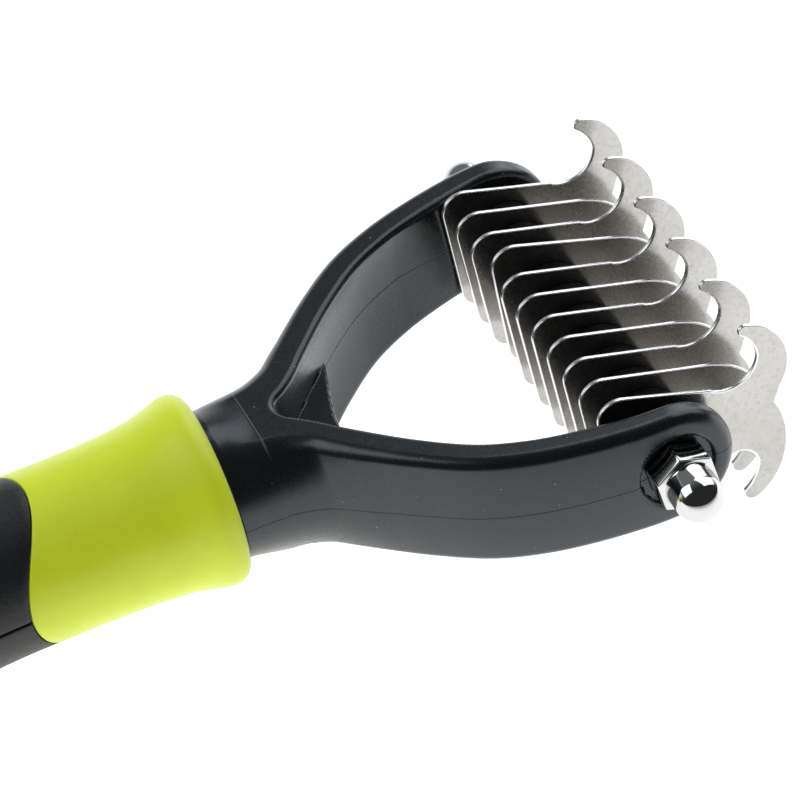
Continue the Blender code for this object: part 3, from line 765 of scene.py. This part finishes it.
def make_axle(metal):
    c = 0.4
    end = AXLE_HALF_LENGTH
    profile = [(-end, 0.01), (-end, AXLE_R - c), (-end + c, AXLE_R), (end - c, AXLE_R), (end, AXLE_R - c),
               (end, 0.01)]
    points, faces = loft([ring_y(y, r, 64) for y, r in profile])
    piece("axle", points, faces, [metal], "chrome", HANDLE, ["axle_rod"], 30)


# Handle --------------------------------------------------------------------------------------------------

def radius_on(profile, x):
    line = smooth_line(profile, 8)
    return float(np.interp(x, line[::-1, 0], line[::-1, 1]))


def on_handle(x, radius, angle):
    """A point at an angle round the handle, counted from -Y towards +Z."""
    return (x, -radius * math.cos(angle), radius * math.sin(angle) + float(lift(x)))


def joint_x(angle):
    return COLLAR_END_X - COLLAR_WAVE * math.cos(2 * angle)


def make_collar(rubber):
    sides, straight_count = 180, 14
    rim = smooth_line([(-46.9, 8.9), (-46.35, 9.05)] + COLLAR_PROFILE[:9], 5)
    profile = COLLAR_PROFILE + GRIP_PROFILE[1:]
    rings = []
    for i in range(sides):
        angle = math.tau * i / sides
        end = joint_x(angle)
        lean = -COLLAR_RIM_SET - COLLAR_RIM_LEAN * math.cos(angle - 0.2)
        ring = []
        for x, r in rim:
            if x > COLLAR_STRAIGHT_X:
                share = (x - rim[-1][0]) / (rim[0][0] - rim[-1][0])
                ring.append((x + lean * share, r * (1 + COLLAR_RIM_RISE * share ** 2 * math.sin(angle))))
        ring += [(x, radius_on(profile, x)) for x in np.linspace(COLLAR_STRAIGHT_X, end + 0.3, straight_count)]
        tail = radius_on(profile, end)
        ring += [(end + 0.09, tail - 0.07), (end, tail - 0.3), (end, GRIP_HOLLOW_R), (-48.3, GRIP_HOLLOW_R),
                 (-48.3, 8.7), (-47.4, 8.8)]
        rings.append([on_handle(x, r, angle) for x, r in ring])
    points, faces = loft(rings, closed=True)
    piece("collar", points, faces, [rubber], "green_rubber", HANDLE, ["grip_collar"], 45)


def make_grip(plastic):
    """Upper and lower shells. Their long edges are rounded where they meet at the sides."""
    profile = COLLAR_PROFILE + GRIP_PROFILE[1:]
    edge, rows, columns = 0.2, 72, 70
    for name, start in (("grip_upper", 0.0), ("grip_lower", math.pi)):
        seam = math.asin(SEAM / 2 / GRIP_HOLLOW_R)
        spans = [seam + 0.002, seam + 0.010, seam + 0.022, seam + 0.04]
        inner = np.linspace(seam + 0.06, math.pi - seam - 0.06, rows)
        angles = spans + list(inner) + [math.pi - t for t in reversed(spans)]
        drops = [edge, edge * 0.45, edge * 0.15, 0.03] + [0.0] * rows + [0.03, edge * 0.15, edge * 0.45, edge]
        rings = []
        for t, drop in zip(angles, drops):
            angle = start + t
            ahead = joint_x(angle) - SEAM
            xs = np.linspace(ahead - 0.2, GRIP_REAR_X + 0.35, columns)
            front = radius_on(profile, ahead) - drop
            ring = [(ahead, front - 0.2), (ahead - 0.06, front - 0.06)]
            ring += [(x, radius_on(profile, x) - drop) for x in xs]
            ring += [(GRIP_REAR_X + 0.1, radius_on(profile, GRIP_REAR_X) - 0.1 - drop),
                     (GRIP_REAR_X, radius_on(profile, GRIP_REAR_X) - 0.35 - drop),
                     (GRIP_REAR_X, GRIP_HOLLOW_R), (ahead, GRIP_HOLLOW_R)]
            rings.append([on_handle(x, r, angle) for x, r in ring])
        points, faces = loft(rings)
        count = len(rings[0])
        faces += [tuple(range(count)), tuple((len(rings) - 1) * count + k for k in reversed(range(count)))]
        piece(f"shell_{name}", points, faces, [plastic], "black_grip", HANDLE, [name], 40)


def cap_field(p):
    """The butt cap: turned body, flattened eye and hanging hole, all with rounded edges."""
    x, y, z = p.T
    level = z - lift(CAP_REAR_X)
    radial = np.hypot(y, z - lift(x))
    line = smooth_line(CAP_PROFILE, 8)
    radius = np.interp(x, line[::-1, 0], line[::-1, 1])
    body = both(both((radial - radius) * 0.85, CAP_REAR_X - x, 0.8), x - (GRIP_REAR_X - GAP), 0.4)
    slope = (np.abs(level) - CAP_FLAT_HALF - (x - CAP_FLAT_FRONT_X)) * 0.7071
    flats = np.where(x > CAP_FLAT_FRONT_X, slope, np.abs(level) - CAP_FLAT_HALF)
    body = both(body, flats, 0.7)
    spigot = both(both(radial - (GRIP_HOLLOW_R - GAP), x - (GRIP_REAR_X - GAP + SPIGOT_LENGTH), 0.3),
                  -136.0 - x, 0.3)
    hole = HANG_HOLE_R - np.hypot(x - HANG_HOLE_X, y)
    return both(np.minimum(body, spigot), hole, 0.8)


def make_cap(rubber):
    low, high = (-151.6, -12.4, -8.4), (-129.0, 12.4, 17.0)
    smooth_piece("cap", cap_field, low, high, CAP_STEP, 1, rubber, "green_rubber", "butt_cap")


# Surroundings --------------------------------------------------------------------------------------------

CAMERA_AT = Vector((-0.0625989, -0.4196457, 0.4007289))
CAMERA_RIGHT = Vector((0.903428, -0.390698, -0.176559))
CAMERA_UP = Vector((0.387476, 0.567761, 0.726299))
LENS = 222.26


def make_camera():
    data = bpy.data.cameras.new("camera")
    data.lens = LENS
    data.sensor_width = 36.0
    data.clip_start = 0.02
    made = bpy.data.objects.new("camera", data)
    back = CAMERA_RIGHT.cross(CAMERA_UP)
    turn = Matrix((CAMERA_RIGHT, CAMERA_UP, back)).transposed().to_4x4()
    made.matrix_world = Matrix.Translation(CAMERA_AT) @ turn
    bpy.context.scene.collection.objects.link(made)
    bpy.context.scene.camera = made


def panel(name, at, towards, width, height, radiance, colour, mirrored=True):
    """A soft box, whose power follows from how bright its face is. Unless mirrored, no reflection shows it."""
    data = bpy.data.lights.new(name, "AREA")
    data.shape = "RECTANGLE"
    data.size, data.size_y = width, height
    data.energy = radiance * math.pi * width * height
    data.color = colour
    made = bpy.data.objects.new(name, data)
    made.location = at
    made.visible_glossy = mirrored
    made.rotation_euler = (Vector(towards) - Vector(at)).to_track_quat("-Z", "Y").to_euler()
    bpy.context.scene.collection.objects.link(made)


def make_studio():
    """A white table that dims towards the front, a pale backdrop and three soft boxes."""
    middle = (0.03, 0.0, 0.015)
    panel("right", (0.62, 0.31, 0.58), middle, 0.85, 0.85, 1.7, (0.93, 0.97, 1.0))
    panel("left", (-0.52, 0.18, 0.66), middle, 0.68, 0.66, 1.8, (0.93, 0.97, 1.0))
    panel("above", (-0.10, -0.30, 0.90), middle, 0.8, 0.8, 1.0, (1.0, 1.0, 0.98), False)
    n = Nodes("table")
    grain = n.noise(60.0, 4.0)
    colour = n.blend(grain, (0.50, 0.50, 0.50, 1), (0.54, 0.54, 0.54, 1))
    glow = n.ramp(n.axis("Y"), -0.16, -0.03, 0.22, 1.1)
    table = n.finish(Base_Color=colour, Roughness=0.8, Emission_Color=(1.0, 1.0, 1.0, 1),
                     Emission_Strength=glow)
    mesh = bpy.data.meshes.new("floor")
    mesh.from_pydata([(-3, -3, 0), (3, -3, 0), (3, 3, 0), (-3, 3, 0)], [], [(0, 1, 2, 3)])
    mesh.materials.append(table)
    floor = bpy.data.objects.new("floor", mesh)
    floor.location.z = -0.0002
    bpy.context.scene.collection.objects.link(floor)
    world = bpy.data.worlds.new("studio")
    world.use_nodes = True
    bpy.context.scene.world = world
    tree = world.node_tree
    place = tree.nodes.new("ShaderNodeTexCoord").outputs["Generated"]
    parts = tree.nodes.new("ShaderNodeSeparateXYZ")
    tree.links.new(place, parts.inputs[0])

    def ramp(value, low, high, to_low, to_high):
        made = tree.nodes.new("ShaderNodeMapRange")
        made.interpolation_type = "SMOOTHSTEP"
        for key, v in (("From Min", low), ("From Max", high), ("To Min", to_low), ("To Max", to_high)):
            made.inputs[key].default_value = v
        tree.links.new(value, made.inputs["Value"])
        return made.outputs["Result"]

    def combine(operation, a, b):
        made = tree.nodes.new("ShaderNodeMath")
        made.operation = operation
        tree.links.new(a, made.inputs[0])
        tree.links.new(b, made.inputs[1])
        return made.outputs[0]

    behind = ramp(parts.outputs["Y"], -0.2, 0.7, 0.03, 0.2)
    far, low = ramp(parts.outputs["Y"], 0.1, 0.5, 0.0, 1.0), ramp(parts.outputs["Z"], 0.50, 0.15, 0.0, 1.0)
    sweep = combine("MULTIPLY", far, low)
    tree.links.new(combine("ADD", behind, sweep), tree.nodes["Background"].inputs["Strength"])
    tree.nodes["Background"].inputs["Color"].default_value = (0.93, 0.96, 1.0, 1)
    bpy.context.scene.view_settings.view_transform = "Standard"


def main():
    plastic, bush, grip = black_plastic(), spacer_plastic(), black_grip()
    rubber, steel, edge, metal = green_rubber(), blade_steel(), ground_steel(), chrome()
    make_fork(plastic)
    make_stack(steel, edge, bush)
    make_nut(1, "cap_nut_left", metal)
    make_nut(-1, "cap_nut_right", metal)
    make_axle(metal)
    make_collar(rubber)
    make_grip(grip)
    make_cap(rubber)
    make_camera()
    make_studio()


main()
